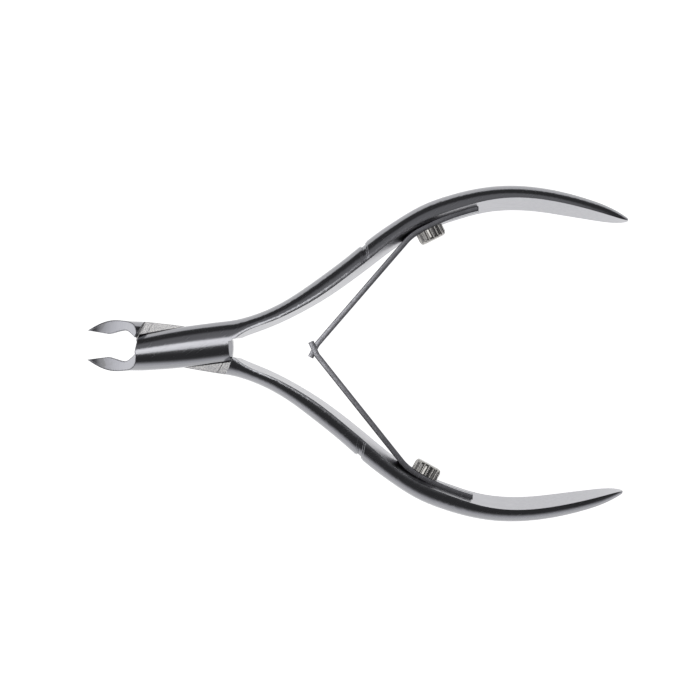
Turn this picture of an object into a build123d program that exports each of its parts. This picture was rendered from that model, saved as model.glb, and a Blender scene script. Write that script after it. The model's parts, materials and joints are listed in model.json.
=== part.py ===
"""Cuticle nipper with a lap joint and a pair of interlocking leaf springs.

The nipper lies on its back: X runs from the jaws (-X) to the handle tails (+X), Y is
across the handles and +Z is the front of the tool, the side with the ground bevels.
The origin is under the middle of the tool, on the surface that it rests on.

Each half is drawn in its own frame: the origin is on the pivot at mid-depth, and the
outline is the one that the half has when the nipper is shut. The frame is then turned
about the pivot by half of the opening. "side" is +1 for what lies above the centre line
and -1 for what lies below it, so every profile is written once, for side +1.
"""

from build123d import *
from math import acos, cos, radians, sin
import os

os.makedirs("parts", exist_ok=True)

# ---- driving dimensions, in millimetres and degrees -----------------------------------
UPPER, LOWER = 1, -1
HALF_OPENING = 8.3          # each half is turned this far from the shut position
PIVOT_X = -36.285           # pivot, measured from the middle of the open nipper
REST_DEPTH = 3.3            # mid-plane of the joint above the surface it rests on

LAP_GAP = 0.06              # between the two lapped plates
SHOULDER_GAP = 0.12         # between a plate's end and the shoulder that it meets
PLATE_END_RADIUS = 10.3     # handle end of each plate, an arc about the pivot
END_BEVEL, END_BEVEL_DEPTH = 0.8, 1.5   # on the outer face of that end
RELIEF_WIDTH, RELIEF_DEPTH = 1.7, 0.25  # step beside each shoulder, below the lapped face
CROTCH_GAP, CROTCH_END = 0.45, 13.0     # behind the plates each handle keeps off the centre line
JAW_SHOULDER = ((-9.2, 3.9), (-10.5, 0.24))   # jaw end of each plate, outer and inner point
EDGE_GAP = 0.04             # each cutting edge stays this far from the centre line
HEAD_CLEAR = 8.0            # wider than the head on either side of the centre line
REACH = 45.0                # larger than any width or depth that a cut has to clear

# Cross-sections of one side, tip to tail: a D whose convex face is an oval about "centre".
# x, inner edge, oval centre, outer edge, half depth, lean of the inner face
STATIONS = (
    (-22.6, -1.5, -0.6, 0.60, 2.85, 0.0),
    (-20.3, -1.5, -0.3, 1.80, 2.95, 0.0),
    (-18.1, -1.5, 0.0, 2.85, 3.05, 0.0),
    (-16.0, -1.5, 0.0, 3.25, 3.12, 0.0),
    (-13.0, -1.5, 0.0, 3.45, 3.21, 0.0),
    (-10.0, -1.5, 0.0, 3.82, 3.29, 0.0),
    (-7.0, -1.5, 0.0, 4.04, 3.35, 0.0),
    (-4.0, -1.5, 0.0, 4.21, 3.40, 0.0),
    (-1.0, -1.5, 0.0, 4.31, 3.43, 0.0),
    (2.0, -1.5, 0.0, 4.36, 3.44, 0.0),
    (5.0, -1.5, 0.0, 4.39, 3.44, 0.0),
    (7.5, -1.3, 0.0, 4.39, 3.43, 0.0),
    (9.5, -0.6, 0.1, 4.36, 3.42, 0.1),
    (12.0, 0.4, 1.1, 4.45, 3.36, 0.6),
    (15.0, 1.15, 2.3, 4.90, 3.28, 1.0),
    (19.0, 2.1, 3.3, 5.90, 3.25, 0.95),
    (24.0, 3.7, 4.95, 7.85, 3.2, 0.9),
    (30.0, 6.1, 7.5, 10.95, 3.2, 1.0),
    (36.0, 9.1, 10.7, 14.35, 3.2, 1.3),
    (42.0, 12.5, 14.25, 18.05, 3.2, 1.5),
    (48.0, 15.9, 17.8, 21.20, 3.22, 1.8),
    (54.0, 18.3, 20.3, 23.70, 3.26, 1.95),
    (60.0, 19.6, 21.6, 25.05, 3.3, 2.0),
    (66.0, 20.5, 22.5, 25.70, 3.3, 2.1),
    (72.0, 20.45, 22.5, 25.55, 3.25, 2.3),
    (78.0, 19.4, 21.5, 24.50, 3.1, 2.4),
    (84.0, 17.7, 19.7, 22.65, 2.85, 2.3),
    (89.0, 16.2, 17.9, 20.55, 2.45, 1.9),
    (93.0, 15.1, 16.3, 18.45, 1.95, 1.3),
    (95.6, 14.7, 15.25, 16.60, 1.3, 0.6),
    (96.8, 14.75, 14.95, 15.55, 0.6, 0.2),
)
OVAL_POWER = 2.35           # 2 is an ellipse, more is squarer
OVAL_POINTS = 9             # points that shape the convex face of a section

# Jaws: the hollow-ground bevel is an arc in side view, the edges meet at the tips
BEVEL = ((-10.3, 3.3), (-15.0, -0.5), (-22.0, -2.9))
EDGE_HEEL_X = -16.65        # the cutting edge runs from here to the tip
EDGE_RELIEF = ((-14.15, 1.05), (-12.65, 1.4), (-11.2, 0.7))
RELIEF_END = (-10.5, 0.2)

# Ring groove across the front of each handle
RING_X, RING_SLOPE = 40.3, 31.7
RING_STEPS = ((2.0, 0.18), (1.1, 0.5))          # width and depth of the two steps
RING_SECTION = (10.6, 13.25, 17.1, 3.2, 2.35)   # section of the handle there, with its inner
                                                # face moved in so that the ring stops at it

# Pivot screw, entered from the back
PIVOT_RADIUS = 1.75
PIVOT_CLEARANCE = 0.03
PIVOT_HEAD_RADIUS, PIVOT_HEAD_HEIGHT = 3.1, 1.5
PIVOT_TIP_Z = 2.3           # end of the shank above the mid-plane
SLOT_WIDTH, SLOT_DEPTH = 0.8, 0.7

# Leaf springs
LEAF_THICKNESS, FOOT_WIDTH, TIP_WIDTH = 1.2, 3.2, 2.6
LEAF_Z = -0.3               # middle of the leaf's width, from the mid-plane
FOOT_END, FOOT_MIDDLE, FOOT_START = (65.6, 21.45), (58.5, 20.2), (52.35, 18.2)
BEND_RADIUS, LEAF_SLOPE = 10.0, 42.0      # the leaf leaves the handle at this slope
LEAF_LENGTH, HOOK_RADIUS, HOOK_TURN = 28.5, 2.5, 14.0
HOOK_TIP = 2.8
HINGE_GAP = 0.2             # between the clamped foot and the leaf that swings from it
TONGUE_WIDTH, FORK_WIDTH = 0.8, 1.3
HOOK_START = 1.1            # the tongue and the fork start this far before the hook
GROOVE_CLEARANCE = 0.1
FOOT_CLEARANCE = 0.2        # at the tail end of the foot's groove

# Spring screws
SCREW_PLACE = 0.84          # fraction of the foot's length, from its tail end
SCREW_RADIUS, SCREW_HEAD_RADIUS, SCREW_HEAD_HEIGHT = 1.1, 2.95, 2.5
SCREW_HEAD_ROUND = 0.7
SCREW_DEPTH = 3.2           # below the head, through the leaf and into the handle
SCREW_CLEARANCE = 0.02
SPOT_FACE_CLEARANCE = 0.15  # round the head, where it stands in the handle's inner face
FLUTES, FLUTE_RADIUS, FLUTE_DEPTH = 18, 0.32, 0.22


# ---- frames ------------------------------------------------------------------------------
def half_frame(side):
    """Frame of one half: origin on the pivot at mid-depth, turned by its opening."""
    turn = radians(side * HALF_OPENING)
    return Plane(origin=(PIVOT_X, 0, REST_DEPTH), x_dir=(cos(turn), sin(turn), 0), z_dir=(0, 0, 1))


def cross_plane(frame, x):
    """Plane across the nipper at x. Its own axes are the frame's Y and Z."""
    return Plane(origin=frame.from_local_coords((x, 0, 0)), x_dir=frame.y_dir, z_dir=frame.x_dir)


def side_plane(frame):
    """Lengthwise plane through the pivot. Its own axes are the frame's X and Z."""
    return Plane(origin=frame.origin, x_dir=frame.x_dir, z_dir=-frame.y_dir)


# ---- outlines ------------------------------------------------------------------------------
def shoulder_x(y):
    """X of the line along a plate's jaw end, at a distance y from the centre line."""
    (outer_x, outer_y), (inner_x, inner_y) = JAW_SHOULDER
    return inner_x + (outer_x - inner_x) * (y - inner_y) / (outer_y - inner_y)


def section_points(side, inner, centre, outer, depth, lean):
    """Points of a section's convex face, from its back corner round to its front corner."""
    half_width = outer - centre

    def corner_angle(y):
        across = (y - centre) / half_width
        return acos(abs(across) ** (OVAL_POWER / 2) * (1 if across > 0 else -1))

    def on_oval(angle):
        y, z = cos(angle), sin(angle)
        y = abs(y) ** (2 / OVAL_POWER) * (1 if y > 0 else -1)
        z = abs(z) ** (2 / OVAL_POWER) * (1 if z > 0 else -1)
        return side * (centre + half_width * y), depth * z

    first, last = -corner_angle(inner), corner_angle(inner + lean)
    return [on_oval(first + (last - first) * i / (OVAL_POINTS - 1)) for i in range(OVAL_POINTS)]


def side_form(frame, side):
    """Whole outer form of one side, from jaw tip to handle tail."""
    with BuildPart() as form:
        for x, *section in STATIONS:
            with BuildSketch(cross_plane(frame, x)):
                with BuildLine():
                    face = section_points(side, *section)
                    Spline(*face)
                    Line(face[-1], face[0])
                make_face()
        loft()
    return form


def handle_blank(frame, side):
    """The side that carries the handle: all of it but the jaw."""
    with BuildPart() as blank:
        add(side_form(frame, side).part)
        with BuildSketch(frame.offset(-REACH)):
            with BuildLine():
                Polyline(
                    (shoulder_x(HEAD_CLEAR), side * HEAD_CLEAR),
                    (shoulder_x(0), 0),
                    (PLATE_END_RADIUS, 0),
                    (PLATE_END_RADIUS, side * CROTCH_GAP),
                    (CROTCH_END, side * CROTCH_GAP),
                    (CROTCH_END, -side * REACH),
                    (-REACH, -side * REACH),
                    (-REACH, side * HEAD_CLEAR),
                    close=True,
                )
            make_face()
        extrude(amount=2 * REACH, mode=Mode.SUBTRACT)
    return blank


def jaw_blank(frame, side):
    """The side that carries the jaw: the jaw and its half of the head, with no handle."""
    with BuildPart() as blank:
        add(side_form(frame, side).part)
        with BuildSketch(frame.offset(-REACH)):
            with Locations((0, -side * REACH)):
                Rectangle(4 * REACH, 2 * REACH)
            with Locations((2 * REACH, 0)):
                Rectangle(4 * REACH, 4 * REACH)
            Circle(PLATE_END_RADIUS, mode=Mode.SUBTRACT)
            with Locations((0, -side * REACH)):
                Rectangle(4 * REACH, 2 * REACH)
        extrude(amount=2 * REACH, mode=Mode.SUBTRACT)

        # bevel round the plate's handle end, on its outer face
        outer_face = -side
        across = Plane(origin=frame.origin, x_dir=-frame.y_dir, z_dir=-frame.x_dir)
        with BuildSketch(across):
            with BuildLine():
                Polyline(
                    (PLATE_END_RADIUS - END_BEVEL, outer_face * REST_DEPTH),
                    (PLATE_END_RADIUS, outer_face * (REST_DEPTH - END_BEVEL_DEPTH)),
                    (REACH, outer_face * (REST_DEPTH - END_BEVEL_DEPTH)),
                    (REACH, outer_face * REACH),
                    (PLATE_END_RADIUS - END_BEVEL, outer_face * REACH),
                    close=True,
                )
            make_face()
        revolve(axis=Axis(frame.origin, frame.z_dir), revolution_arc=180, mode=Mode.SUBTRACT)
    return blank


def leaf_line():
    """Centre line of a leaf spring for side +1: its clamped foot, then the bend, blade and hook."""
    foot = ThreePointArc(FOOT_END, FOOT_MIDDLE, FOOT_START, mode=Mode.PRIVATE)
    heading = foot.tangent_angle_at(1) % 360
    turn = 180 + LEAF_SLOPE - heading
    bend = JernArc(foot @ 1, foot % 1, BEND_RADIUS, turn, mode=Mode.PRIVATE)
    blade = PolarLine(bend @ 1, LEAF_LENGTH, direction=bend % 1, mode=Mode.PRIVATE)
    hook = JernArc(blade @ 1, blade % 1, HOOK_RADIUS, HOOK_TURN, mode=Mode.PRIVATE)
    tip = PolarLine(hook @ 1, HOOK_TIP, direction=hook % 1, mode=Mode.PRIVATE)
    return foot, bend, blade, hook, tip


def flip(point, side):
    """A point of side +1, moved to the given side."""
    return (point.X, side * point.Y)


def strip(edges, side, start, thickness):
    """Closed outline of a strip about a run of edges, beginning "start" along the first."""
    half = thickness / 2

    def beside(edge, at, offset):
        along = edge % at
        return edge @ at + Vector(-along.Y, along.X) * offset

    begin = start / edges[0].length
    spots = []
    for number, edge in enumerate(edges):
        first = begin if number == 0 else 0
        spots.append((edge, first, (first + 1) / 2, 1))
    for offset in (-half, half):
        for edge, first, middle, last in spots:
            ends = [flip(beside(edge, at, offset), side) for at in (first, middle, last)]
            if edge.geom_type == GeomType.LINE:
                Line(ends[0], ends[2])
            else:
                ThreePointArc(*ends)
    first_edge, last_edge = edges[0], edges[-1]
    Line(*[flip(beside(first_edge, begin, offset), side) for offset in (-half, half)])
    Line(*[flip(beside(last_edge, 1, offset), side) for offset in (-half, half)])


def blade_plane(frame, side):
    """Plane on the blade's broad face, at the hook. Its X runs on towards the tip."""
    blade = leaf_line()[2]
    along = frame.x_dir * (blade % 1).X + frame.y_dir * (side * (blade % 1).Y)
    spot = frame.from_local_coords(flip(blade @ 1, side) + (LEAF_Z,))
    return Plane(origin=spot, x_dir=along, z_dir=along.cross(frame.z_dir))


def screw_plane(frame, side):
    """Plane on the inner face of the leaf's foot, at its screw. It faces the other handle."""
    foot = leaf_line()[0]
    spot = foot.position_at(SCREW_PLACE)
    heading = foot.tangent_at(SCREW_PLACE)
    inward = Vector(-heading.Y, heading.X)
    spot = spot + inward * LEAF_THICKNESS / 2
    normal = frame.x_dir * inward.X + frame.y_dir * (side * inward.Y)
    origin = frame.from_local_coords((spot.X, side * spot.Y, LEAF_Z))
    return Plane(origin=origin, x_dir=frame.z_dir, z_dir=normal)


# ---- the two halves ------------------------------------------------------------------------
def pocket_outline(side, margin):
    """Outline of a lap pocket: its jaw shoulder and its arc at the handle, drawn in by margin."""
    inner_y = JAW_SHOULDER[1][1]
    corner_x = shoulder_x(inner_y) - SHOULDER_GAP + margin
    far_x = shoulder_x(HEAD_CLEAR) - SHOULDER_GAP + margin
    radius = PLATE_END_RADIUS + SHOULDER_GAP - margin
    with BuildSketch(Plane.XY) as outline:
        Circle(radius)
        with Locations((-REACH, 0)):
            Rectangle(2 * REACH, 2 * REACH, mode=Mode.SUBTRACT)
        with BuildLine():
            Polyline(
                (0, side * HEAD_CLEAR),
                (corner_x, side * HEAD_CLEAR),
                (corner_x, -side * inner_y),
                (far_x, -side * HEAD_CLEAR),
                (0, -side * HEAD_CLEAR),
                close=True,
            )
        make_face()
    return outline.sketch


def nipper_half(side):
    """A handle, its lapped plate and the jaw across the centre line, as one forging.

    The half with the upper handle (+1) has its plate in front, the other has it behind.
    """
    frame = half_frame(side)
    lap_start = frame.offset(side * LAP_GAP / 2)
    pocket, pocket_floor = pocket_outline(side, 0), pocket_outline(side, RELIEF_WIDTH)
    with BuildPart() as half:
        add(handle_blank(frame, side).part)
        add(jaw_blank(frame, -side).part)

        # pocket that the other half's plate turns in, a step deeper beside its shoulders
        with BuildSketch(lap_start):
            add(pocket)
        extrude(amount=-side * REACH, mode=Mode.SUBTRACT)
        with BuildSketch(lap_start.offset(side * RELIEF_DEPTH)):
            add(pocket)
            add(pocket_floor, mode=Mode.SUBTRACT)
        extrude(amount=-side * REACH, mode=Mode.SUBTRACT)

        # hollow-ground bevel on the front of the jaw
        with BuildSketch(side_plane(frame)):
            with BuildLine():
                bevel = ThreePointArc(*BEVEL)
                Polyline(
                    bevel @ 1,
                    bevel @ 1 + (bevel % 1) * HEAD_CLEAR,
                    bevel @ 1 + (bevel % 1) * HEAD_CLEAR + Vector(0, REACH),
                    bevel @ 0 + Vector(0, REACH),
                    bevel @ 0,
                )
            make_face()
        extrude(amount=REACH, both=True, mode=Mode.SUBTRACT)

        # inner side of the jaw: the straight cutting edge, then the relief behind its heel
        with BuildSketch(frame.offset(-REACH)):
            with BuildLine():
                relief = Spline(
                    (EDGE_HEEL_X, -side * EDGE_GAP),
                    *[(x, -side * y) for x, y in EDGE_RELIEF],
                    (RELIEF_END[0], -side * RELIEF_END[1]),
                )
                Polyline(
                    relief @ 1,
                    (RELIEF_END[0], side * REACH),
                    (-REACH, side * REACH),
                    (-REACH, -side * EDGE_GAP),
                    relief @ 0,
                )
            make_face()
        extrude(amount=2 * REACH, mode=Mode.SUBTRACT)

        # seat for the spring's foot, and its screw hole
        foot, bend = leaf_line()[:2]
        with BuildSketch(frame.offset(LEAF_Z - FOOT_WIDTH / 2 - GROOVE_CLEARANCE)):
            with BuildLine():
                strip((foot, bend), side, 0, LEAF_THICKNESS)
            make_face()
        extrude(amount=FOOT_WIDTH + 2 * GROOVE_CLEARANCE, mode=Mode.SUBTRACT)
        with BuildSketch(screw_plane(frame, side)):
            Circle(SCREW_RADIUS + SCREW_CLEARANCE)
        extrude(amount=-SCREW_DEPTH, mode=Mode.SUBTRACT)
        with BuildSketch(screw_plane(frame, side).offset(-SCREW_CLEARANCE)):
            Circle(SCREW_HEAD_RADIUS + SPOT_FACE_CLEARANCE)
        extrude(amount=SCREW_HEAD_HEIGHT, mode=Mode.SUBTRACT)
    return half


def ring_cutter(frame, side):
    """The stepped ring groove of a handle: slabs across it, less the core that each one leaves."""
    inner, centre, outer, depth, lean = RING_SECTION
    turn = radians(side * RING_SLOPE)
    along = frame.x_dir * cos(turn) + frame.y_dir * sin(turn)
    with BuildPart() as cutter:
        for width, cut in RING_STEPS:
            core = (inner - cut, centre, outer - cut, depth - cut, cut + lean)
            with BuildSketch(cross_plane(frame, RING_X)):
                with Locations((side * (centre + REACH / 4), 0)):
                    Rectangle(REACH / 2, REACH / 2)
                with BuildLine():
                    face = section_points(side, *core)
                    Spline(*face)
                    Line(face[-1], face[0])
                make_face(mode=Mode.SUBTRACT)
            extrude(amount=width / 2, dir=along, both=True)
    return cutter


# ---- pivot screw ---------------------------------------------------------------------------
def pivot_hole(frame):
    """Material that the pivot screw needs out of the rear half: its shank and its head."""
    back = frame.offset(-REST_DEPTH)
    with BuildPart() as hole:
        with BuildSketch(back.offset(-1)):
            Circle(PIVOT_HEAD_RADIUS + PIVOT_CLEARANCE)
        extrude(amount=1 + PIVOT_HEAD_HEIGHT + PIVOT_CLEARANCE)
        with BuildSketch(back):
            Circle(PIVOT_RADIUS + PIVOT_CLEARANCE)
        extrude(amount=REST_DEPTH)
    return hole


def pivot_screw_part(frame):
    """Slotted screw: its head is flush with the back and its shank is the pivot."""
    back = frame.offset(-REST_DEPTH + PIVOT_CLEARANCE)
    with BuildPart() as screw:
        with BuildSketch(back):
            Circle(PIVOT_HEAD_RADIUS)
        extrude(amount=PIVOT_HEAD_HEIGHT - PIVOT_CLEARANCE)
        with BuildSketch(back):
            Circle(PIVOT_RADIUS)
        extrude(amount=REST_DEPTH + PIVOT_TIP_Z)
        chamfer(screw.edges().sort_by(Axis.Z)[0], 0.15)
        chamfer(screw.edges().sort_by(Axis.Z)[-1], 0.3)
        with BuildSketch(back):
            Rectangle(REACH, SLOT_WIDTH)
        extrude(amount=SLOT_DEPTH, mode=Mode.SUBTRACT)
    return screw


# ---- leaf springs --------------------------------------------------------------------------
def spring_foot(side):
    """The clamped end of a leaf spring, with the bend that leads it off the handle."""
    frame = half_frame(side)
    foot, bend = leaf_line()[:2]
    with BuildPart() as piece:
        with BuildSketch(frame.offset(LEAF_Z - FOOT_WIDTH / 2)):
            with BuildLine():
                strip((foot, bend), side, FOOT_CLEARANCE, LEAF_THICKNESS)
            make_face()
        extrude(amount=FOOT_WIDTH)
        with BuildSketch(screw_plane(frame, side)):
            Circle(SCREW_RADIUS + SCREW_CLEARANCE)
        extrude(amount=-SCREW_DEPTH, mode=Mode.SUBTRACT)
        with BuildSketch(screw_plane(frame, side).offset(-SCREW_CLEARANCE)):
            Circle(SCREW_HEAD_RADIUS + SCREW_CLEARANCE)
        extrude(amount=SCREW_HEAD_HEIGHT, mode=Mode.SUBTRACT)
    return piece


def spring_leaf(side):
    """The free end of a leaf spring. The upper one ends in a tongue, the lower in a fork."""
    frame = half_frame(side)
    blade, hook, tip = leaf_line()[2:]
    length = (tip @ 1 - blade @ 0).length
    with BuildPart() as piece:
        with BuildSketch(frame.offset(LEAF_Z - FOOT_WIDTH / 2)):
            with BuildLine():
                strip((blade, hook, tip), side, HINGE_GAP, LEAF_THICKNESS)
            make_face()
        extrude(amount=FOOT_WIDTH)

        # taper in width, seen on the broad face
        face = blade_plane(frame, side)
        with BuildSketch(face):
            with BuildLine():
                Polyline(
                    (-length, -FOOT_WIDTH / 2),
                    (REACH / 4, -TIP_WIDTH / 2),
                    (REACH / 4, TIP_WIDTH / 2),
                    (-length, FOOT_WIDTH / 2),
                    close=True,
                )
            make_face()
        extrude(amount=REACH / 4, both=True, mode=Mode.INTERSECT)

        # tongue or fork
        with BuildSketch(face):
            with Locations((REACH / 8 - HOOK_START, 0)):
                if side == UPPER:
                    Rectangle(REACH / 4, REACH)
                    Rectangle(REACH / 4, TONGUE_WIDTH, mode=Mode.SUBTRACT)
                else:
                    Rectangle(REACH / 4, FORK_WIDTH)
        extrude(amount=REACH / 4, both=True, mode=Mode.SUBTRACT)
    return piece


def spring_screw(side):
    """Fluted cheese-head screw that clamps a spring's foot to its handle."""
    plane = screw_plane(half_frame(side), side)
    with BuildPart() as screw:
        with BuildSketch(plane):
            Circle(SCREW_HEAD_RADIUS)
        extrude(amount=SCREW_HEAD_HEIGHT)
        axis = Axis(plane.origin, plane.z_dir)
        fillet(screw.faces().sort_by(axis)[-1].edges(), SCREW_HEAD_ROUND)
        with BuildSketch(plane):
            with PolarLocations(SCREW_HEAD_RADIUS + FLUTE_RADIUS - FLUTE_DEPTH, FLUTES):
                Circle(FLUTE_RADIUS)
        extrude(amount=SCREW_HEAD_HEIGHT, mode=Mode.SUBTRACT)
        with BuildSketch(plane):
            Circle(SCREW_RADIUS)
        extrude(amount=-SCREW_DEPTH + SCREW_CLEARANCE)
        with BuildSketch(plane.offset(SCREW_HEAD_HEIGHT)):
            Rectangle(SLOT_WIDTH, REACH)
        extrude(amount=-SLOT_DEPTH, mode=Mode.SUBTRACT)
    return screw


# ---- the pieces ----------------------------------------------------------------------------
front_frame, rear_frame = half_frame(UPPER), half_frame(LOWER)

with BuildPart() as front_half:
    add(nipper_half(UPPER).part)
    add(ring_cutter(front_frame, UPPER).part, mode=Mode.SUBTRACT)
    with BuildSketch(front_frame):
        Circle(PIVOT_RADIUS + SCREW_CLEARANCE)
    extrude(amount=PIVOT_TIP_Z + PIVOT_CLEARANCE + SCREW_CLEARANCE, mode=Mode.SUBTRACT)
    split(bisect_by=front_frame.offset(-REST_DEPTH), keep=Keep.TOP)
front_half.part.label = "front_half"
export_step(front_half.part, "parts/front_half.step")

with BuildPart() as rear_half:
    add(nipper_half(LOWER).part)
    add(ring_cutter(rear_frame, LOWER).part, mode=Mode.SUBTRACT)
    add(pivot_hole(rear_frame).part, mode=Mode.SUBTRACT)
    split(bisect_by=rear_frame.offset(-REST_DEPTH), keep=Keep.TOP)
rear_half.part.label = "rear_half"
export_step(rear_half.part, "parts/rear_half.step")

pivot_screw = pivot_screw_part(front_frame)
pivot_screw.part.label = "pivot_screw"
export_step(pivot_screw.part, "parts/pivot_screw.step")

for side, word in ((UPPER, "upper"), (LOWER, "lower")):
    foot_piece = spring_foot(side)
    foot_piece.part.label = f"{word}_spring_foot"
    export_step(foot_piece.part, f"parts/{word}_spring_foot.step")

    leaf_piece = spring_leaf(side)
    leaf_piece.part.label = f"{word}_spring_leaf"
    export_step(leaf_piece.part, f"parts/{word}_spring_leaf.step")

    screw_piece = spring_screw(side)
    screw_piece.part.label = f"{word}_spring_screw"
    export_step(screw_piece.part, f"parts/{word}_spring_screw.step")

    hinge = leaf_line()[2] @ 0
    place = half_frame(side).from_local_coords((hinge.X, side * hinge.Y, 0))
    print(f"{word} leaf hinge: {place.X:.2f}, {place.Y:.2f}, {place.Z:.2f}")
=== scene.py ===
"""Looks of the cuticle nipper: camera, studio, steel finishes and the bent leaf springs.

Everything is in metres, in the frame of the CAD model: the nipper lies on its back, with
its jaws towards -X, its upper handle towards +Y and its front facing +Z. Sizes that repeat
the CAD model's are in millimetres, and MM turns them into metres.
"""

import json
from math import atan2, cos, hypot, pi, radians, sin

import bpy
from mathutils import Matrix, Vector


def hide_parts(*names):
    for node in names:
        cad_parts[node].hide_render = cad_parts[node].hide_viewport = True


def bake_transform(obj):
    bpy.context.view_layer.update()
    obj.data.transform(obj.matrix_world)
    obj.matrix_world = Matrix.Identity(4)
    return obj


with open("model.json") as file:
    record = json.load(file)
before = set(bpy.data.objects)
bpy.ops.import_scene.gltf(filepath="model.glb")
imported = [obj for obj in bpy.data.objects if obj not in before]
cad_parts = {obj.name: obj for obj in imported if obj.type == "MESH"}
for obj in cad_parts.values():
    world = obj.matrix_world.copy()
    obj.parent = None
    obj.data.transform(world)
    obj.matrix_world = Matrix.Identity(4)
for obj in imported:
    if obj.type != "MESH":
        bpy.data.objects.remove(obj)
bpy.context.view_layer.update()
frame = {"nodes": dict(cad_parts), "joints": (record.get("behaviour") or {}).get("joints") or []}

MM = 0.001
JOINTS = {joint["name"]: joint for joint in frame["joints"]}
PIVOT = Vector(JOINTS["pivot"]["pos_m"])
HALF_ANGLE = radians(8.3)            # each half is turned this far about the pivot
HALVES = {"front_half": 1, "rear_half": -1}     # node, and the side of its handle

# ---- camera --------------------------------------------------------------------------------
SENSOR = 36.0                        # sensor width, in mm of the camera itself
FIELD = 148.9 * MM                   # width of the picture at the middle of the nipper
CAMERA_HEIGHT = 450 * MM
AIM = PIVOT + Vector((35.11, 0.07, 0)) * MM
ROLL = radians(1.15)
CLIP_START, CLIP_END = 0.01, 10.0


def add_camera():
    """Looks straight down on the front of the nipper, rolled a little."""
    data = bpy.data.cameras.new("camera")
    data.sensor_width = SENSOR
    data.lens = SENSOR * CAMERA_HEIGHT / FIELD
    data.clip_start = CLIP_START
    data.clip_end = CLIP_END
    camera = bpy.data.objects.new("camera", data)
    camera.location = (AIM.x, AIM.y, PIVOT.z + CAMERA_HEIGHT)
    camera.rotation_euler = (0, 0, ROLL)
    bpy.context.collection.objects.link(camera)
    bpy.context.scene.camera = camera


# ---- shader nodes --------------------------------------------------------------------------
SOCKET_TYPES = {"FLOAT": "VALUE", "RGBA": "RGBA", "VECTOR": "VECTOR"}


class Graph:
    """The node tree of a material or the world, with a short way to add each node."""

    def __init__(self, owner):
        owner.use_nodes = True
        self.tree = owner.node_tree
        self.nodes = owner.node_tree.nodes

    def put(self, value, socket):
        """A socket is linked, a number or a tuple is set."""
        if isinstance(value, bpy.types.NodeSocket):
            self.tree.links.new(value, socket)
        else:
            socket.default_value = value

    def coordinates(self, output):
        return self.nodes.new("ShaderNodeTexCoord").outputs[output]

    def maths(self, operation, *values):
        node = self.nodes.new("ShaderNodeMath")
        node.operation = operation
        for socket, value in zip(node.inputs, values):
            self.put(value, socket)
        return node.outputs[0]

    def vector(self, operation, *values):
        node = self.nodes.new("ShaderNodeVectorMath")
        node.operation = operation
        for socket, value in zip(node.inputs, values):
            self.put(value, socket)
        return node.outputs["Value" if operation == "DOT_PRODUCT" else "Vector"]

    def dot(self, first, second):
        return self.vector("DOT_PRODUCT", first, second)

    def ramp(self, value, low, high, out_low=0.0, out_high=1.0):
        """Smooth step of a value, from out_low at low to out_high at high."""
        node = self.nodes.new("ShaderNodeMapRange")
        node.interpolation_type = "SMOOTHSTEP"
        self.put(value, node.inputs["Value"])
        self.put(low, node.inputs["From Min"])
        self.put(high, node.inputs["From Max"])
        self.put(out_low, node.inputs["To Min"])
        self.put(out_high, node.inputs["To Max"])
        return node.outputs["Result"]

    def mix(self, factor, first, second, kind="FLOAT"):
        """Blend of two values, from the first at factor 0 to the second at 1."""
        node = self.nodes.new("ShaderNodeMix")
        node.data_type = kind
        ends = [socket for socket in node.inputs if socket.type == SOCKET_TYPES[kind]][-2:]
        self.put(factor, node.inputs["Factor"])
        self.put(first, ends[0])
        self.put(second, ends[1])
        return next(socket for socket in node.outputs if socket.type == SOCKET_TYPES[kind])

    def mix_colour(self, factor, first, second):
        """Blend of two colours, each a socket or red, green and blue."""
        ends = [colour if isinstance(colour, bpy.types.NodeSocket) else (*colour, 1)
                for colour in (first, second)]
        return self.mix(factor, *ends, kind="RGBA")

    def grain(self, position, turn, lengths, detail=3.0, roughness=0.6):
        """Noise whose blobs are lengths mm long, on axes turned about Z."""
        mapping = self.nodes.new("ShaderNodeMapping")
        mapping.vector_type = "TEXTURE"
        self.put(position, mapping.inputs["Vector"])
        mapping.inputs["Rotation"].default_value = (0, 0, turn)
        mapping.inputs["Scale"].default_value = [length * MM for length in lengths]
        noise = self.nodes.new("ShaderNodeTexNoise")
        self.put(mapping.outputs["Vector"], noise.inputs["Vector"])
        noise.inputs["Scale"].default_value = 1.0
        noise.inputs["Detail"].default_value = detail
        noise.inputs["Roughness"].default_value = roughness
        return noise.outputs["Fac"]

    def bump(self, height, strength, distance, normal):
        node = self.nodes.new("ShaderNodeBump")
        node.inputs["Strength"].default_value = strength
        node.inputs["Distance"].default_value = distance
        self.put(height, node.inputs["Height"])
        self.put(normal, node.inputs["Normal"])
        return node.outputs["Normal"]


# ---- studio --------------------------------------------------------------------------------
FLOOR_SIZE, FLOOR_DROP = 6.0, 0.05 * MM
FLOOR_GREY, FLOOR_GLOW = (0.5, 0.5, 0.5, 1), 1.0
# the overhead lamp: its middle from the pivot, its size, and how bright it is
LAMP_PLACE, LAMP_SIZE, LAMP_RADIANCE = Vector((-26, 14, 250)) * MM, (96 * MM, 66 * MM), 2.1
# each of these lights: an angle of its axis, then the degrees from that axis between which
# it fades, and its strength. The ceiling's and the wall's axes lean from +Z towards +Y.
CEILING_LEAN, CEILING = 22.0, (16.0, 29.0, 0.25)
WALL_LEAN, WALL = 15.0, (62.0, 98.0, 0.93)
PANEL_ELEVATION, PANEL = 12.0, (22.0, 44.0, 1.15)      # a pale panel beyond the jaws
DARK = 0.07                          # strength where no light is
STUDIO_TINT = (0.97, 0.97, 1.0, 1)


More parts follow.
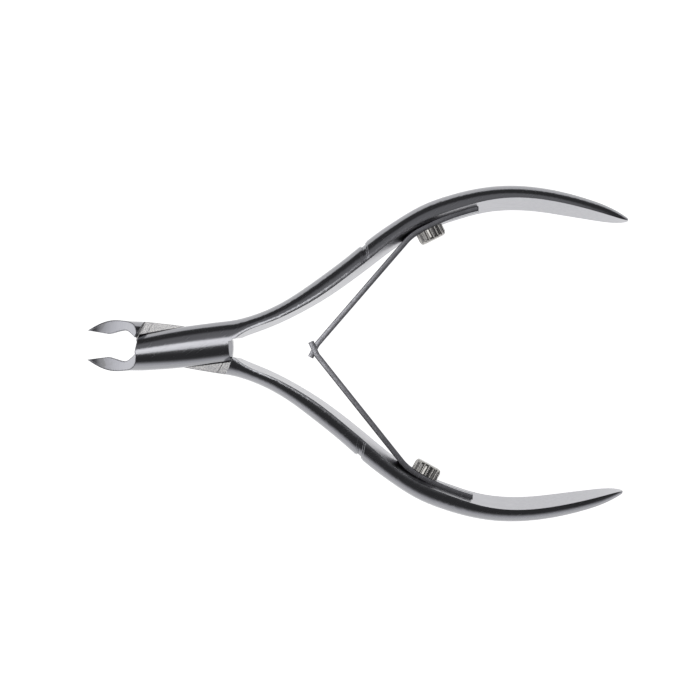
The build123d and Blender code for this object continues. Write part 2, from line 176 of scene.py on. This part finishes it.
def add_floor():
    """A pale table that glows a little, so that it stays clean white under the nipper."""
    half = FLOOR_SIZE / 2
    mesh = bpy.data.meshes.new("floor")
    corners = [(-half, -half, 0), (half, -half, 0), (half, half, 0), (-half, half, 0)]
    mesh.from_pydata(corners, [], [(0, 1, 2, 3)])
    floor = bpy.data.objects.new("floor", mesh)
    floor.location.z = -FLOOR_DROP
    bpy.context.collection.objects.link(floor)
    material = bpy.data.materials.new("floor")
    material.use_nodes = True
    shader = material.node_tree.nodes["Principled BSDF"]
    shader.inputs["Base Color"].default_value = FLOOR_GREY
    shader.inputs["Roughness"].default_value = 1.0
    shader.inputs["Specular IOR Level"].default_value = 0.0
    shader.inputs["Emission Color"].default_value = (1, 1, 1, 1)
    shader.inputs["Emission Strength"].default_value = FLOOR_GLOW
    floor.data.materials.append(material)


def add_lamp():
    """Small soft lamp over the jaws and the joint, which lights the crest of the head."""
    light = bpy.data.lights.new("lamp", "AREA")
    light.shape = "RECTANGLE"
    light.size, light.size_y = LAMP_SIZE
    light.energy = LAMP_RADIANCE * pi * LAMP_SIZE[0] * LAMP_SIZE[1]
    lamp = bpy.data.objects.new("lamp", light)
    lamp.location = PIVOT + LAMP_PLACE
    lamp.visible_camera = False
    bpy.context.collection.objects.link(lamp)


def add_world():
    """Soft studio: a dim ceiling, dark upper walls and pale light low down."""
    world = bpy.data.worlds.new("studio")
    bpy.context.scene.world = world
    graph = Graph(world)
    direction = graph.coordinates("Generated")

    def light(axis, fade_start, fade_end, inside, outside):
        """Strength that goes from inside to outside between two angles from an axis."""
        facing = graph.dot(direction, axis)
        return graph.ramp(facing, cos(radians(fade_end)), cos(radians(fade_start)), outside, inside)

    def leaning(lean):
        return (0.0, sin(radians(lean)), cos(radians(lean)))

    start, end, strength = CEILING
    ceiling = light(leaning(CEILING_LEAN), start, end, strength, 0)
    start, end, strength = WALL
    wall = light(leaning(WALL_LEAN), start, end, 0, strength)
    start, end, strength = PANEL
    elevation = radians(PANEL_ELEVATION)
    panel = light((-cos(elevation), 0.0, sin(elevation)), start, end, strength, 0)
    low = graph.maths("MAXIMUM", wall, panel)
    total = graph.maths("ADD", graph.maths("ADD", ceiling, low), DARK)
    background = graph.nodes["Background"]
    background.inputs["Color"].default_value = STUDIO_TINT
    graph.put(total, background.inputs["Strength"])


# ---- finishes ------------------------------------------------------------------------------
# colours of each finish, light and dark
POLISHED, POLISHED_DARK, SPECK = (0.352, 0.352, 0.376), (0.300, 0.303, 0.315), (0.2, 0.2, 0.21)
BRUSHED, BRUSHED_DARK = (0.56, 0.56, 0.58), (0.37, 0.37, 0.39)
HOLLOW, HOLLOW_DARK, TIP = (0.560, 0.562, 0.585), (0.46, 0.465, 0.49), (0.34, 0.34, 0.33)
GROUND, GROUND_DARK = (0.430, 0.422, 0.415), (0.235, 0.235, 0.245)
# the light edge colour is a painted highlight on the halves' edges, the near-black one a painted
# shade line along the jaws' edges
EDGE_HIGHLIGHT, JAW_OUTLINE_SHADE = (0.66, 0.66, 0.68), (0.07, 0.07, 0.08)
SPRING, SPRING_DARK, SPRING_ROUGHNESS = (0.450, 0.450, 0.480), (0.20, 0.20, 0.215), 0.24
NICKEL, NICKEL_DARK, NICKEL_ROUGHNESS = (0.520, 0.510, 0.490), (0.26, 0.25, 0.235), 0.15
# painted highlight on the edges of the springs and screws
SMALL_EDGE = (0.70, 0.69, 0.68)

# roughness of each finish, and what the scratches add
POLISHED_ROUGHNESS, SCRATCH_ROUGHNESS = (0.13, 0.21), 0.12
BRUSHED_ROUGHNESS, HOLLOW_ROUGHNESS, GROUND_ROUGHNESS, EDGE_ROUGHNESS = 0.30, 0.42, 0.24, 0.18
SMALL_ROUGHNESS, SMALL_SCRATCH_ROUGHNESS = (-0.05, 0.07), 0.1

# grain sizes in mm: along the half, across it and up
CLOUDS, STREAKS, SPECKS = (9, 3, 3), (14, 0.16, 0.16), (0.22, 0.22, 0.22)
SCRATCHES, SCRATCH_TURN, SCRATCH_SHARE = (6, 0.07, 0.3), 0.5, (0.66, 0.74)
CROSS_LINES = (0.14, 2.4, 1.2)
TIP_CLOUDS, TIP_CLOUD_TURN, TIP_CLOUD_SHARE = (2.6, 1.5, 3), 0.6, (0.5, 0.6)
SMALL_MOTTLE, SPRING_LINES, NICKEL_LINES = (1.6, 1.6, 1.6), (2, 0.2, 0.2), (0.3, 0.3, 0.3)
SMALL_SCRATCHES, SMALL_SCRATCH_TURN, SMALL_SCRATCH_SHARE = (2, 0.06, 0.5), 0.9, (0.64, 0.72)

# how strongly each pattern tints the steel; the outline and edge tints set how strongly the painted
# shade line on the jaws and the painted edge highlights show
SPECK_TINT, TIP_TINT, OUTLINE_TINT, EDGE_TINT, CUTTING_EDGE_SHARE = 0.25, 0.55, 0.9, 0.35, 0.4
SMALL_EDGE_TINT = 0.4
GROUND_SPECKS = (0.35, 0.65)

# relief: the share of each pattern, the strength and the height of the whole
SPECK_RELIEF, STREAK_RELIEF, SCRATCH_RELIEF, CROSS_LINE_RELIEF = 0.35, 0.25, 0.2, 0.8
RELIEF_STRENGTH, RELIEF_HEIGHT = 0.55, 0.012 * MM
SMALL_SCRATCH_RELIEF, SMALL_RELIEF_STRENGTH, SMALL_RELIEF_HEIGHT = 0.5, 0.5, 0.008 * MM

# stretches of a half over which a finish fades, from the pivot towards the tails
JAW_TIP = (-17.5 * MM, -15.0 * MM)
JAW_END = (-10.4 * MM, -9.9 * MM)
# where the painted shade line of the jaws gives way to the painted edge highlight
OUTLINE_END = (-10.0 * MM, -8.0 * MM)
HEAD_END = (8.5 * MM, 11.5 * MM)
HANDLE_START = (10.5 * MM, 12.0 * MM)
# how a face has to look, between none and all of a finish
TOWARDS_TIP = (-0.36, -0.26)         # part of its normal along the half, on a hollow bevel
FLAT_UP = (0.985, 0.995)             # part of its normal upwards, on a lap face
LAP_HEIGHT = (3.6 * MM, 4.2 * MM)
INWARD = (0.62, 0.72)                # part of its normal inwards, on a handle's inner face
OUTSIDE = (0.5 * MM, 1.0 * MM)       # distance outwards from the cutting edges

# rounded edges: their radii, and how far normals agree on an edge and off it
EDGE_RADIUS, OUTLINE_RADIUS, SMALL_EDGE_RADIUS = 0.13 * MM, 0.45 * MM, 0.09 * MM
BEVEL_SAMPLES = 6
ON_EDGE, ON_JAW_EDGE, OFF_EDGE = 0.80, 0.955, 0.99

# the head's oval barrel: half its depth, half its width from the jaws to the crotch, its power
HEAD_DEPTH, HEAD_REACH, HEAD_WIDTHS = 3.43 * MM, (-22 * MM, 4 * MM), (3.05 * MM, 4.40 * MM)
OVAL_POWER = 2.35
OVAL_AGREES = (0.94, 0.975)          # agreement of normals between which the oval takes over


def rounded(graph, radius, on_edge):
    """Normal that is rounded off at edges, and a mask that is 1 on the edges."""
    bevel = graph.nodes.new("ShaderNodeBevel")
    bevel.samples = BEVEL_SAMPLES
    graph.put(radius, bevel.inputs["Radius"])
    normal = bevel.outputs["Normal"]
    geometry = graph.nodes.new("ShaderNodeNewGeometry")
    agreement = graph.dot(normal, geometry.outputs["Normal"])
    return normal, graph.ramp(agreement, on_edge, OFF_EDGE, 1.0, 0.0)


def head_normal(graph, along, across, up, mask, normal, turn):
    """Normal of the head's oval barrel, where the surface is within a few degrees of it."""
    half_width = graph.ramp(along, *HEAD_REACH, *HEAD_WIDTHS)

    def slope(distance, size):
        part = graph.maths("DIVIDE", distance, size)
        power = graph.maths("POWER", graph.maths("ABSOLUTE", part), OVAL_POWER - 1)
        signed = graph.maths("MULTIPLY", power, graph.maths("SIGN", part))
        return graph.maths("DIVIDE", signed, graph.maths("DIVIDE", size, MM))

    combine = graph.nodes.new("ShaderNodeCombineXYZ")
    graph.put(slope(across, half_width), combine.inputs["Y"])
    graph.put(slope(up, HEAD_DEPTH), combine.inputs["Z"])
    rotate = graph.nodes.new("ShaderNodeVectorRotate")
    rotate.rotation_type = "Z_AXIS"
    graph.put(combine.outputs["Vector"], rotate.inputs["Vector"])
    rotate.inputs["Angle"].default_value = turn
    to_world = graph.nodes.new("ShaderNodeVectorTransform")
    to_world.vector_type = "NORMAL"
    to_world.convert_from = "OBJECT"
    to_world.convert_to = "WORLD"
    graph.put(rotate.outputs["Vector"], to_world.inputs["Vector"])
    oval = graph.vector("NORMALIZE", to_world.outputs["Vector"])
    share = graph.maths("MULTIPLY", mask, graph.ramp(graph.dot(oval, normal), *OVAL_AGREES))
    return graph.vector("NORMALIZE", graph.mix(share, normal, oval, kind="VECTOR"))


def forged_steel(name):
    """Polished forging: satin hollow bevels, ground lap faces and brushed inner faces, with a
    painted highlight on its edges and a painted shade line along the jaws' edges.
    """
    material = bpy.data.materials.new(name)
    graph = Graph(material)
    shader = graph.nodes["Principled BSDF"]
    shader.inputs["Metallic"].default_value = 1.0
    position, normal = graph.coordinates("Object"), graph.coordinates("Normal")
    side = HALVES[name]
    turn = side * HALF_ANGLE

    # the half's own axes: along it from the pivot, across it, and up
    x_dir, y_dir, z_dir = (cos(turn), sin(turn), 0), (-sin(turn), cos(turn), 0), (0, 0, 1)
    along = graph.maths("SUBTRACT", graph.dot(position, x_dir), PIVOT.x * cos(turn))
    across = graph.maths("ADD", graph.dot(position, y_dir), PIVOT.x * sin(turn))
    height = graph.dot(position, z_dir)
    up = graph.maths("SUBTRACT", height, PIVOT.z)

    # where each finish is: hollow bevel of the jaw, lap faces, inner face of the handle
    jaw = graph.ramp(along, *JAW_END, 1.0, 0.0)
    hollow = graph.maths("MULTIPLY", jaw,
                         graph.ramp(graph.dot(normal, x_dir), *TOWARDS_TIP, 1.0, 0.0))
    lap = graph.maths("MULTIPLY", graph.ramp(graph.dot(normal, z_dir), *FLAT_UP),
                      graph.ramp(height, *LAP_HEIGHT, 1.0, 0.0))
    inward = graph.maths("MULTIPLY", graph.dot(normal, y_dir), -side)
    inner = graph.maths("MULTIPLY", graph.ramp(inward, *INWARD), graph.ramp(along, *HANDLE_START))
    outside = graph.ramp(graph.maths("MULTIPLY", across, -side), *OUTSIDE)

    # patterns
    cloud = graph.grain(position, turn, CLOUDS)
    streak = graph.grain(position, turn, STREAKS, 2.0)
    speck = graph.grain(position, 0, SPECKS, 2.0, 0.7)
    scratch = graph.ramp(graph.grain(position, turn + SCRATCH_TURN, SCRATCHES, 1.0), *SCRATCH_SHARE)
    cross_line = graph.grain(position, turn, CROSS_LINES, 2.0)
    tip_cloud = graph.ramp(graph.grain(position, turn + TIP_CLOUD_TURN, TIP_CLOUDS),
                           *TIP_CLOUD_SHARE)

    # edges and the head's oval
    edge_radius = graph.mix(jaw, EDGE_RADIUS, OUTLINE_RADIUS)
    edge_normal, edge = rounded(graph, edge_radius, graph.mix(jaw, ON_EDGE, ON_JAW_EDGE))
    plain = graph.maths("SUBTRACT", 1.0, graph.maths("MAXIMUM", hollow, edge))
    head = graph.maths("MULTIPLY", graph.ramp(along, *HEAD_END, 1.0, 0.0), plain)
    smooth_normal = head_normal(graph, along, across, up, head, edge_normal, turn)

    # colour, from the polished steel to the pieces of other finishes, then a painted highlight on
    # the edges and a painted shade line along the jaws' edges
    colour = graph.mix_colour(cloud, POLISHED_DARK, POLISHED)
    colour = graph.mix_colour(graph.maths("MULTIPLY", speck, SPECK_TINT), colour, SPECK)
    colour = graph.mix_colour(inner, colour, graph.mix_colour(streak, BRUSHED_DARK, BRUSHED))
    tip = graph.maths("MULTIPLY", graph.ramp(along, *JAW_TIP, 1.0, 0.0), tip_cloud)
    satin = graph.mix_colour(cross_line, HOLLOW_DARK, HOLLOW)
    satin = graph.mix_colour(graph.maths("MULTIPLY", tip, TIP_TINT), satin, TIP)
    colour = graph.mix_colour(hollow, colour, satin)
    ground = graph.mix_colour(graph.ramp(speck, *GROUND_SPECKS), GROUND_DARK, GROUND)
    colour = graph.mix_colour(lap, colour, ground)
    # painted shade: near-black along the jaws' edges; painted highlight: light on the other edges
    edge_colour = graph.mix_colour(graph.ramp(along, *OUTLINE_END), JAW_OUTLINE_SHADE, EDGE_HIGHLIGHT)
    tint = graph.ramp(along, *OUTLINE_END, OUTLINE_TINT, EDGE_TINT)
    tint = graph.maths("MULTIPLY", tint, graph.maths("MAXIMUM", outside, CUTTING_EDGE_SHARE))
    colour = graph.mix_colour(graph.maths("MULTIPLY", edge, tint), colour, edge_colour)
    graph.put(colour, shader.inputs["Base Color"])

    roughness = graph.mix(cloud, *POLISHED_ROUGHNESS)
    roughness = graph.maths("ADD", roughness, graph.maths("MULTIPLY", scratch, SCRATCH_ROUGHNESS))
    for mask, value in ((inner, BRUSHED_ROUGHNESS), (hollow, HOLLOW_ROUGHNESS),
                        (lap, GROUND_ROUGHNESS), (edge, EDGE_ROUGHNESS)):
        roughness = graph.mix(mask, roughness, value)
    graph.put(roughness, shader.inputs["Roughness"])

    relief = graph.maths("ADD", graph.maths("MULTIPLY", speck, SPECK_RELIEF),
                         graph.maths("MULTIPLY", streak, STREAK_RELIEF))
    relief = graph.maths("SUBTRACT", relief, graph.maths("MULTIPLY", scratch, SCRATCH_RELIEF))
    cross_relief = graph.maths("MULTIPLY", graph.maths("MULTIPLY", hollow, cross_line),
                               CROSS_LINE_RELIEF)
    relief = graph.maths("ADD", relief, cross_relief)
    graph.put(graph.bump(relief, RELIEF_STRENGTH, RELIEF_HEIGHT, smooth_normal),
              shader.inputs["Normal"])
    return material


def small_steel(name, dark, light, roughness, lines):
    """Steel of the small pieces: mottled, finely scratched, with a painted highlight on its edges.
    """
    material = bpy.data.materials.new(name)
    graph = Graph(material)
    shader = graph.nodes["Principled BSDF"]
    shader.inputs["Metallic"].default_value = 1.0
    position = graph.coordinates("Object")
    mottle = graph.grain(position, 0, SMALL_MOTTLE)
    fine = graph.grain(position, 0, lines, 2.0)
    scratch = graph.ramp(graph.grain(position, SMALL_SCRATCH_TURN, SMALL_SCRATCHES, 1.0),
                         *SMALL_SCRATCH_SHARE)
    edge_normal, edge = rounded(graph, SMALL_EDGE_RADIUS, ON_EDGE)
    colour = graph.mix_colour(mottle, dark, light)
    # painted highlight on the edges
    colour = graph.mix_colour(graph.maths("MULTIPLY", edge, SMALL_EDGE_TINT), colour, SMALL_EDGE)
    graph.put(colour, shader.inputs["Base Color"])
    smoother, rougher = SMALL_ROUGHNESS
    rough = graph.mix(fine, roughness + smoother, roughness + rougher)
    rough = graph.maths("ADD", rough, graph.maths("MULTIPLY", scratch, SMALL_SCRATCH_ROUGHNESS))
    graph.put(rough, shader.inputs["Roughness"])
    relief = graph.maths("SUBTRACT", fine, graph.maths("MULTIPLY", scratch, SMALL_SCRATCH_RELIEF))
    graph.put(graph.bump(relief, SMALL_RELIEF_STRENGTH, SMALL_RELIEF_HEIGHT, edge_normal),
              shader.inputs["Normal"])
    return material


# ---- leaf springs --------------------------------------------------------------------------
# the strip's centre line in the frame of the shut upper half, as in the CAD model, in mm
LEAF_THICKNESS, FOOT_WIDTH, TIP_WIDTH, LEAF_Z = 1.2, 3.2, 2.6, -0.3
FOOT_END, FOOT_MIDDLE, FOOT_START = (65.6, 21.45), (58.5, 20.2), (52.35, 18.2)
BEND_RADIUS, LEAF_SLOPE = 10.0, 42.0
LEAF_LENGTH, HOOK_RADIUS, HOOK_TURN, HOOK_TIP = 28.5, 2.5, 14.0, 2.8
TONGUE_WIDTH, FORK_WIDTH, HOOK_START = 0.8, 1.3, 1.1
FOOT_CLEARANCE = 0.2
CORNER, CORNER_STEPS = 0.16, 5       # radius of the strip's rounded edges, and their faces
FOOT_STEPS, BEND_STEPS, LEAF_STEPS, HOOK_STEPS, TIP_STEPS = 28, 10, 40, 4, 8
SPLIT_OVERLAP = 0.8                  # the tongue and the prongs start this far inside the strip
SAME_PLACE = 0.01                    # distances along the strip that count as equal
SHARP_ANGLE = radians(40)


def circle_through(a, b, c):
    """Centre and radius of the circle through three points."""
    (ax, ay), (bx, by), (cx, cy) = a, b, c
    d = 2 * (ax * (by - cy) + bx * (cy - ay) + cx * (ay - by))
    sa, sb, sc = ax * ax + ay * ay, bx * bx + by * by, cx * cx + cy * cy
    x = (sa * (by - cy) + sb * (cy - ay) + sc * (ay - by)) / d
    y = (sa * (cx - bx) + sb * (ax - cx) + sc * (bx - ax)) / d
    return (x, y), hypot(ax - x, ay - y)


def centre_line():
    """Points (x, y, heading, distance) down the strip, the hinge's and the hook's distances."""
    (x, y), radius = circle_through(FOOT_END, FOOT_MIDDLE, FOOT_START)
    first = atan2(FOOT_END[1] - y, FOOT_END[0] - x)
    last = atan2(FOOT_START[1] - y, FOOT_START[0] - x)
    sense = 1 if last > first else -1
    first += sense * FOOT_CLEARANCE / radius
    points = []
    for i in range(FOOT_STEPS + 1):
        angle = first + (last - first) * i / FOOT_STEPS
        points.append((x + radius * cos(angle), y + radius * sin(angle),
                       angle + sense * pi / 2, radius * abs(angle - first)))

    def arc(turn, radius, steps):
        x, y, heading, distance = points[-1]
        bend = 1 if turn > 0 else -1
        for i in range(1, steps + 1):
            part = turn * i / steps
            points.append((x + bend * radius * (sin(heading + part) - sin(heading)),
                           y - bend * radius * (cos(heading + part) - cos(heading)),
                           heading + part, distance + radius * abs(part)))

    def straight(length, steps):
        x, y, heading, distance = points[-1]
        for i in range(1, steps + 1):
            part = length * i / steps
            points.append((x + cos(heading) * part, y + sin(heading) * part,
                           heading, distance + part))

    heading = points[-1][2] % (2 * pi)
    arc(pi + radians(LEAF_SLOPE) - heading, BEND_RADIUS, BEND_STEPS)
    hinge = points[-1][3]
    straight(LEAF_LENGTH, LEAF_STEPS)
    hook = points[-1][3]
    arc(radians(HOOK_TURN), HOOK_RADIUS, HOOK_STEPS)
    straight(HOOK_TIP, TIP_STEPS)
    return points, hinge, hook


def strip_section(width):
    """Rounded rectangle: (across the strip's thickness, across its width)."""
    shape = []
    for sx, sy, start in ((1, 1, 0), (-1, 1, 90), (-1, -1, 180), (1, -1, 270)):
        for i in range(CORNER_STEPS + 1):
            angle = radians(start + 90 * i / CORNER_STEPS)
            shape.append((sx * (LEAF_THICKNESS / 2 - CORNER) + CORNER * cos(angle),
                          sy * (width / 2 - CORNER) + CORNER * sin(angle)))
    return shape


def in_frame(x, y, side):
    """X and Y in metres, at rest, of a place in mm in the frame of the upper or lower half."""
    turn = side * HALF_ANGLE
    return (PIVOT.x + (x * cos(turn) - y * sin(turn)) * MM, (x * sin(turn) + y * cos(turn)) * MM)


def sweep(points, width_at, middle, side, vertices, faces):
    """Adds a closed strip along the points, side +1 as drawn and -1 mirrored."""
    rings = []
    for x, y, heading, distance in points:
        ring = []
        for across, up in strip_section(width_at(distance)):
            px = x - sin(heading) * across
            py = side * (y + cos(heading) * across)
            ring.append(len(vertices))
            vertices.append((*in_frame(px, py, side), PIVOT.z + (LEAF_Z + middle + up) * MM))
        rings.append(ring)
    count = len(rings[0])
    for one, two in zip(rings, rings[1:]):
        for i in range(count):
            j = (i + 1) % count
            faces.append((one[i], one[j], two[j], two[i])[::side])
    faces.append(tuple(rings[0][::-1][::side]))
    faces.append(tuple(rings[-1][::side]))


def add_leaf(word, side, material):
    """One spring: foot, bend, blade and hook in one strip that bends at its hinge."""
    points, hinge, hook = centre_line()
    split = hook - HOOK_START
    end = points[-1][3]

    def width_at(distance):
        part = max(0.0, (distance - hinge) / (end - hinge))
        return FOOT_WIDTH + (TIP_WIDTH - FOOT_WIDTH) * part

    vertices, faces = [], []
    body_points = [point for point in points if point[3] <= split + SAME_PLACE]
    tip_points = [point for point in points if point[3] >= split - SPLIT_OVERLAP]
    sweep(body_points, width_at, 0.0, side, vertices, faces)
    if side > 0:
        sweep(tip_points, lambda distance: TONGUE_WIDTH, 0.0, side, vertices, faces)
    else:
        prong = (TIP_WIDTH - FORK_WIDTH) / 2
        for sign in (1, -1):
            middle = sign * (FORK_WIDTH + prong) / 2
            sweep(tip_points, lambda distance: prong, middle, side, vertices, faces)
    mesh = bpy.data.meshes.new(f"{word}_leaf_spring")
    mesh.from_pydata(vertices, [], faces)
    mesh.validate()
    mesh.shade_smooth()
    mesh.set_sharp_from_angle(angle=SHARP_ANGLE)
    mesh.materials.append(material)
    piece = bpy.data.objects.new(f"{word}_leaf_spring", mesh)
    bpy.context.collection.objects.link(piece)

    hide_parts(f"{word}_spring_foot", f"{word}_spring_leaf")
    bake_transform(piece)


# ---- the scene -----------------------------------------------------------------------------
add_camera()
add_floor()
add_lamp()
add_world()

spring = small_steel("spring_steel", SPRING_DARK, SPRING, SPRING_ROUGHNESS, SPRING_LINES)
nickel = small_steel("screw_steel", NICKEL_DARK, NICKEL, NICKEL_ROUGHNESS, NICKEL_LINES)
for name, piece in frame["nodes"].items():
    piece.data.materials.clear()
    if name in HALVES:
        piece.data.materials.append(forged_steel(name))
    elif "screw" in name:
        piece.data.materials.append(nickel)
    else:
        piece.data.materials.append(spring)

add_leaf("upper", 1, spring)
add_leaf("lower", -1, spring)

bpy.context.scene.view_settings.view_transform = "Standard"
